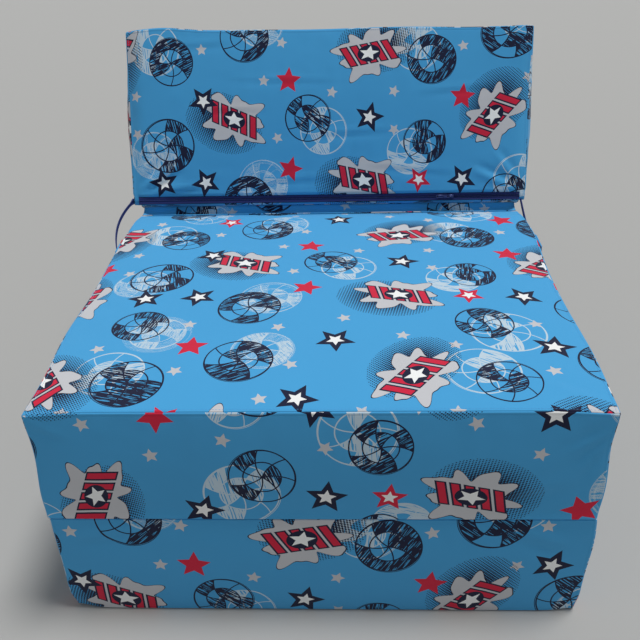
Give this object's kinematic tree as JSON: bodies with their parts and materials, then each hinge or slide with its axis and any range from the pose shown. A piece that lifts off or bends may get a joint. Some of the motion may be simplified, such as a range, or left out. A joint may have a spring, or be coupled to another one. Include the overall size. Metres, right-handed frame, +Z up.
{
  "type": "kids flip open sofa",
  "caption": "Child's fold-out foam sofa: zipped cotton covers over foam, a seat that flips forward on a front hinge and a leaning back hinged at the rear.",
  "frame": {"origin": "centre of the base block's underside, where it rests on the floor", "axes": "+Y from the front of the seat to the back cushion, +Z up, +X to the right as seen from the front"},
  "size_m": [0.663, 0.8037, 0.5649],
  "materials": {
    "printed_cotton": "matte",
    "foam": "matte",
    "zip_tape": "matte",
    "zip_coil": "satin",
    "zip_metal": "satin"
  },
  "bodies": {
    "base": {"base_cover": "printed_cotton", "base_foam": "foam", "base_zip_tape_upper": "zip_tape", "base_zip_tape_lower": "zip_tape", "base_zip_coil": "zip_coil", "front_hinge_web": "printed_cotton"},
    "base_slider": {"base_zip_slider": "zip_metal"},
    "base_puller": {"base_zip_puller": "zip_metal"},
    "seat": {"seat_cover": "printed_cotton", "seat_foam": "foam", "seat_zip_tape_upper": "zip_tape", "seat_zip_tape_lower": "zip_tape", "seat_zip_coil": "zip_coil", "rear_hinge_web": "printed_cotton", "left_side_strap": "zip_tape", "right_side_strap": "zip_tape", "left_strap_anchor": "printed_cotton", "right_strap_anchor": "printed_cotton"},
    "seat_slider": {"seat_zip_slider": "zip_metal"},
    "seat_puller": {"seat_zip_puller": "zip_metal"},
    "back": {"back_cover": "printed_cotton", "back_foam": "foam", "back_zip_tape_upper": "zip_tape", "back_zip_tape_lower": "zip_tape", "back_zip_coil": "zip_coil"},
    "back_slider": {"back_zip_slider": "zip_metal"},
    "back_puller": {"back_zip_puller": "zip_metal"}
  },
  "joints": [
    {"name": "seat_flip", "type": "hinge", "parent": "base", "child": "seat", "pos_m": [0, -0.282, 0.1503], "axis": [1, 0, 0], "range_deg": [0, 180], "deforming": ["front_hinge_web"]},
    {"name": "back_fold", "type": "hinge", "parent": "seat", "child": "back", "pos_m": [0, 0.283, 0.3016], "axis": [-1, 0, 0], "range_deg": [-104, 69], "deforming": ["rear_hinge_web", "left_side_strap", "right_side_strap"]},
    {"name": "base_zip_slide", "type": "slide", "parent": "base", "child": "base_slider", "axis": [1, 0, 0], "range_m": [-0.009, 0.55], "deforming": ["base_zip_coil"]},
    {"name": "base_puller_lift", "type": "hinge", "parent": "base_slider", "child": "base_puller", "pos_m": [-0.2847, 0.2812, 0.04], "axis": [0, 0, 1], "range_deg": [0, 170]},
    {"name": "seat_zip_slide", "type": "slide", "parent": "seat", "child": "seat_slider", "axis": [1, 0, 0], "range_m": [-0.009, 0.55], "deforming": ["seat_zip_coil"]},
    {"name": "seat_puller_lift", "type": "hinge", "parent": "seat_slider", "child": "seat_puller", "pos_m": [-0.2847, 0.2812, 0.1906], "axis": [0, 0, 1], "range_deg": [0, 170]},
    {"name": "back_zip_slide", "type": "slide", "parent": "back", "child": "back_slider", "axis": [1, 0, 0], "range_m": [-0.485, 0.104], "deforming": ["back_zip_coil"]},
    {"name": "back_puller_lift", "type": "hinge", "parent": "back_slider", "child": "back_puller", "pos_m": [0.2007, 0.28855, 0.31661], "axis": [0, 0.3584, 0.9336], "range_deg": [0, 170]}
  ]
}
